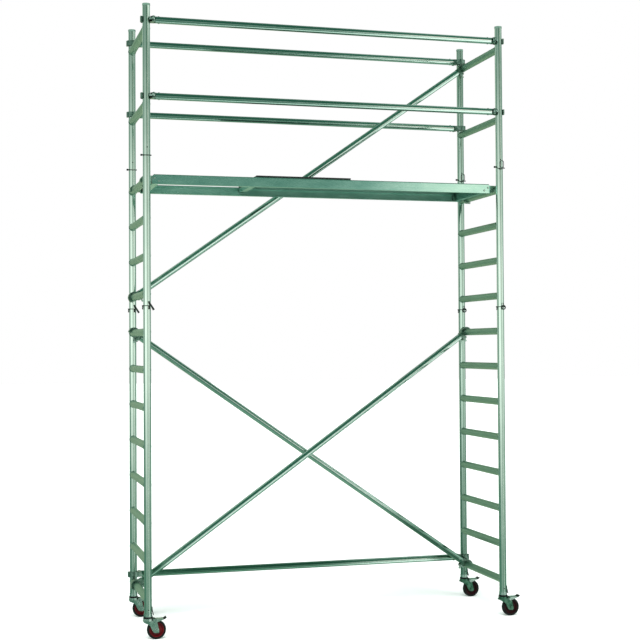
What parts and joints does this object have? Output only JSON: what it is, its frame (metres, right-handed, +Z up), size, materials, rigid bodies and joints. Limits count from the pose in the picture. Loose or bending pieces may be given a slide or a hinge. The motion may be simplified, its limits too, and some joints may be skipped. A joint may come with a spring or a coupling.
{
  "type": "mobile scaffold tower",
  "caption": "Narrow aluminium scaffold tower of stacked ladder frames on braked castors, with guard rails, braces and a platform with an open trapdoor.",
  "frame": {"origin": "on the floor, under the middle of the outline", "axes": "+X along the platform to the right, +Y to the braced rear side, +Z up"},
  "size_m": [2.66, 0.848, 4.164],
  "materials": {
    "aluminium_tube": "drawn tube with a fine lengthwise grain and a green cast",
    "platform_aluminium": "mill-finish extrusion, darker and mottled, green cast",
    "cast_aluminium": "dull die casting",
    "cap_plastic": "moulded cap",
    "black_spring_steel": "blackened spring steel",
    "black_latch": "black coated steel",
    "deck_plywood": "film-faced plywood",
    "hatch_plywood": "black film-faced plywood",
    "red_wheel": "moulded red wheel centre",
    "black_tyre": "hard rubber tread",
    "zinc_steel": "zinc-plated pressing"
  },
  "bodies": {
    "tower": {"lower_frame_left": "aluminium_tube", "lower_frame_right": "aluminium_tube", "middle_frame_left": "aluminium_tube", "middle_frame_right": "aluminium_tube", "guard_frame_left": "aluminium_tube", "guard_frame_right": "aluminium_tube", "frame_spigots": "aluminium_tube", "upright_caps": "cap_plastic", "lower_lock_clips": "black_spring_steel", "upper_lock_pins": "black_spring_steel", "guard_rails": "aluminium_tube", "brace_tubes": "aluminium_tube", "rail_claws": "cast_aluminium", "brace_claws": "cast_aluminium", "claw_fasteners": "zinc_steel", "platform_side_beams": "platform_aluminium", "platform_cross_members": "platform_aluminium", "deck_panels": "deck_plywood", "platform_hooks": "cast_aluminium", "platform_bolts": "zinc_steel", "hatch_hinge_fixed": "zinc_steel", "castor_stems": "zinc_steel", "castor_seals": "black_tyre", "castor_clips": "black_spring_steel"},
    "hatch": {"hatch_panel": "hatch_plywood", "hatch_hinge_moving": "zinc_steel"},
    "wind_latch_left": {"wind_latch_left": "black_latch"},
    "wind_latch_right": {"wind_latch_right": "black_latch"},
    "castor_fl": {"castor_fl_fork": "zinc_steel"},
    "wheel_fl": {"castor_fl_hub": "red_wheel", "castor_fl_tyre": "black_tyre"},
    "brake_fl": {"castor_fl_pedal": "zinc_steel"},
    "castor_fr": {"castor_fr_fork": "zinc_steel"},
    "wheel_fr": {"castor_fr_hub": "red_wheel", "castor_fr_tyre": "black_tyre"},
    "brake_fr": {"castor_fr_pedal": "zinc_steel"},
    "castor_rl": {"castor_rl_fork": "zinc_steel"},
    "wheel_rl": {"castor_rl_hub": "red_wheel", "castor_rl_tyre": "black_tyre"},
    "brake_rl": {"castor_rl_pedal": "zinc_steel"},
    "castor_rr": {"castor_rr_fork": "zinc_steel"},
    "wheel_rr": {"castor_rr_hub": "red_wheel", "castor_rr_tyre": "black_tyre"},
    "brake_rr": {"castor_rr_pedal": "zinc_steel"},
    "latch_front_top_l": {"latch_front_top_l": "zinc_steel"},
    "latch_front_top_r": {"latch_front_top_r": "zinc_steel"},
    "latch_front_knee_l": {"latch_front_knee_l": "zinc_steel"},
    "latch_front_knee_r": {"latch_front_knee_r": "zinc_steel"},
    "latch_rear_top_l": {"latch_rear_top_l": "zinc_steel"},
    "latch_rear_top_r": {"latch_rear_top_r": "zinc_steel"},
    "latch_rear_knee_l": {"latch_rear_knee_l": "zinc_steel"},
    "latch_rear_knee_r": {"latch_rear_knee_r": "zinc_steel"},
    "latch_base_l": {"latch_base_l": "zinc_steel"},
    "latch_base_r": {"latch_base_r": "zinc_steel"},
    "latch_falling_l": {"latch_falling_l": "zinc_steel"},
    "latch_falling_r": {"latch_falling_r": "zinc_steel"},
    "latch_rising_l": {"latch_rising_l": "zinc_steel"},
    "latch_rising_r": {"latch_rising_r": "zinc_steel"},
    "latch_upper_l": {"latch_upper_l": "zinc_steel"},
    "latch_upper_r": {"latch_upper_r": "zinc_steel"}
  },
  "joints": [
    {"name": "swivel_fl", "type": "hinge", "parent": "tower", "child": "castor_fl", "pos_m": [-1.2895, -0.365, 0.131], "axis": [0, 0, 1], "continuous": true},
    {"name": "roll_fl", "type": "hinge", "parent": "castor_fl", "child": "wheel_fl", "pos_m": [-1.2345, -0.365, 0.0625], "axis": [0, 1, 0], "continuous": true},
    {"name": "brake_pedal_fl", "type": "hinge", "parent": "castor_fl", "child": "brake_fl", "pos_m": [-1.2515, -0.365, 0.13], "axis": [0, 1, 0], "range_deg": [0, 12]},
    {"name": "swivel_fr", "type": "hinge", "parent": "tower", "child": "castor_fr", "pos_m": [1.2105, -0.365, 0.131], "axis": [0, 0, 1], "continuous": true},
    {"name": "roll_fr", "type": "hinge", "parent": "castor_fr", "child": "wheel_fr", "pos_m": [1.2655, -0.365, 0.0625], "axis": [0, 1, 0], "continuous": true},
    {"name": "brake_pedal_fr", "type": "hinge", "parent": "castor_fr", "child": "brake_fr", "pos_m": [1.2485, -0.365, 0.13], "axis": [0, 1, 0], "range_deg": [0, 12]},
    {"name": "swivel_rl", "type": "hinge", "parent": "tower", "child": "castor_rl", "pos_m": [-1.2895, 0.365, 0.131], "axis": [0, 0, 1], "continuous": true},
    {"name": "roll_rl", "type": "hinge", "parent": "castor_rl", "child": "wheel_rl", "pos_m": [-1.2345, 0.365, 0.0625], "axis": [0, 1, 0], "continuous": true},
    {"name": "brake_pedal_rl", "type": "hinge", "parent": "castor_rl", "child": "brake_rl", "pos_m": [-1.2515, 0.365, 0.13], "axis": [0, 1, 0], "range_deg": [0, 12]},
    {"name": "swivel_rr", "type": "hinge", "parent": "tower", "child": "castor_rr", "pos_m": [1.2105, 0.365, 0.131], "axis": [0, 0, 1], "continuous": true},
    {"name": "roll_rr", "type": "hinge", "parent": "castor_rr", "child": "wheel_rr", "pos_m": [1.2655, 0.365, 0.0625], "axis": [0, 1, 0], "continuous": true},
    {"name": "brake_pedal_rr", "type": "hinge", "parent": "castor_rr", "child": "brake_rr", "pos_m": [1.2485, 0.365, 0.13], "axis": [0, 1, 0], "range_deg": [0, 12]},
    {"name": "hatch_hinge", "type": "hinge", "parent": "tower", "child": "hatch", "pos_m": [-0.5485, -0.02, 3.0502], "axis": [0, -1, 0], "range_deg": [0, 180]},
    {"name": "wind_latch_left_pivot", "type": "hinge", "parent": "tower", "child": "wind_latch_left", "pos_m": [-1.2565, -0.2563, 2.998], "axis": [0, -1, 0], "range_deg": [0, 70]},
    {"name": "wind_latch_right_pivot", "type": "hinge", "parent": "tower", "child": "wind_latch_right", "pos_m": [1.1775, 0.2163, 2.998], "axis": [0, 1, 0], "range_deg": [0, 70]},
    {"name": "latch_front_top_l_pivot", "type": "hinge", "parent": "tower", "child": "latch_front_top_l", "pos_m": [-1.2455, -0.396, 4.06], "axis": [0, 0, 1], "range_deg": [0, 85], "stiffness_Nm_per_rad": 0.15, "springref_deg": -28.65},
    {"name": "latch_front_top_r_pivot", "type": "hinge", "parent": "tower", "child": "latch_front_top_r", "pos_m": [1.1665, -0.396, 4.06], "axis": [0, 0, -1], "range_deg": [0, 85], "stiffness_Nm_per_rad": 0.15, "springref_deg": -28.65},
    {"name": "latch_front_knee_l_pivot", "type": "hinge", "parent": "tower", "child": "latch_front_knee_l", "pos_m": [-1.2455, -0.396, 3.556], "axis": [0, 0, 1], "range_deg": [0, 85], "stiffness_Nm_per_rad": 0.15, "springref_deg": -28.65},
    {"name": "latch_front_knee_r_pivot", "type": "hinge", "parent": "tower", "child": "latch_front_knee_r", "pos_m": [1.1665, -0.396, 3.556], "axis": [0, 0, -1], "range_deg": [0, 85], "stiffness_Nm_per_rad": 0.15, "springref_deg": -28.65},
    {"name": "latch_rear_top_l_pivot", "type": "hinge", "parent": "tower", "child": "latch_rear_top_l", "pos_m": [-1.2455, 0.396, 4.065], "axis": [0, 0, -1], "range_deg": [0, 85], "stiffness_Nm_per_rad": 0.15, "springref_deg": -28.65},
    {"name": "latch_rear_top_r_pivot", "type": "hinge", "parent": "tower", "child": "latch_rear_top_r", "pos_m": [1.1665, 0.396, 4.065], "axis": [0, 0, 1], "range_deg": [0, 85], "stiffness_Nm_per_rad": 0.15, "springref_deg": -28.65},
    {"name": "latch_rear_knee_l_pivot", "type": "hinge", "parent": "tower", "child": "latch_rear_knee_l", "pos_m": [-1.2455, 0.396, 3.557], "axis": [0, 0, -1], "range_deg": [0, 85], "stiffness_Nm_per_rad": 0.15, "springref_deg": -28.65},
    {"name": "latch_rear_knee_r_pivot", "type": "hinge", "parent": "tower", "child": "latch_rear_knee_r", "pos_m": [1.1665, 0.396, 3.557], "axis": [0, 0, 1], "range_deg": [0, 85], "stiffness_Nm_per_rad": 0.15, "springref_deg": -28.65},
    {"name": "latch_base_l_pivot", "type": "hinge", "parent": "tower", "child": "latch_base_l", "pos_m": [-1.2455, 0.396, 0.303], "axis": [0, 0, -1], "range_deg": [0, 85], "stiffness_Nm_per_rad": 0.15, "springref_deg": -28.65},
    {"name": "latch_base_r_pivot", "type": "hinge", "parent": "tower", "child": "latch_base_r", "pos_m": [1.1665, 0.396, 0.303], "axis": [0, 0, 1], "range_deg": [0, 85], "stiffness_Nm_per_rad": 0.15, "springref_deg": -28.65},
    {"name": "latch_falling_l_pivot", "type": "hinge", "parent": "tower", "child": "latch_falling_l", "pos_m": [-1.27123, 0.302, 1.95337], "axis": [0, -1, 0], "range_deg": [0, 85], "stiffness_Nm_per_rad": 0.15, "springref_deg": -28.65},
    {"name": "latch_falling_r_pivot", "type": "hinge", "parent": "tower", "child": "latch_falling_r", "pos_m": [1.15668, 0.302, 0.25384], "axis": [0, 1, 0], "range_deg": [0, 85], "stiffness_Nm_per_rad": 0.15, "springref_deg": -28.65},
    {"name": "latch_rising_l_pivot", "type": "hinge", "parent": "tower", "child": "latch_rising_l", "pos_m": [-1.23571, 0.20194, 0.25382], "axis": [0.036, -0.9994, 0], "range_deg": [0, 85], "stiffness_Nm_per_rad": 0.15, "springref_deg": -28.65},
    {"name": "latch_rising_r_pivot", "type": "hinge", "parent": "tower", "child": "latch_rising_r", "pos_m": [1.19223, 0.28934, 1.95338], "axis": [-0.036, 0.9994, 0], "range_deg": [0, 85], "stiffness_Nm_per_rad": 0.15, "springref_deg": -28.65},
    {"name": "latch_upper_l_pivot", "type": "hinge", "parent": "tower", "child": "latch_upper_l", "pos_m": [-1.23568, 0.302, 2.25384], "axis": [0, -1, 0], "range_deg": [0, 85], "stiffness_Nm_per_rad": 0.15, "springref_deg": -28.65},
    {"name": "latch_upper_r_pivot", "type": "hinge", "parent": "tower", "child": "latch_upper_r", "pos_m": [1.19223, 0.302, 3.95337], "axis": [0, 1, 0], "range_deg": [0, 85], "stiffness_Nm_per_rad": 0.15, "springref_deg": -28.65}
  ]
}
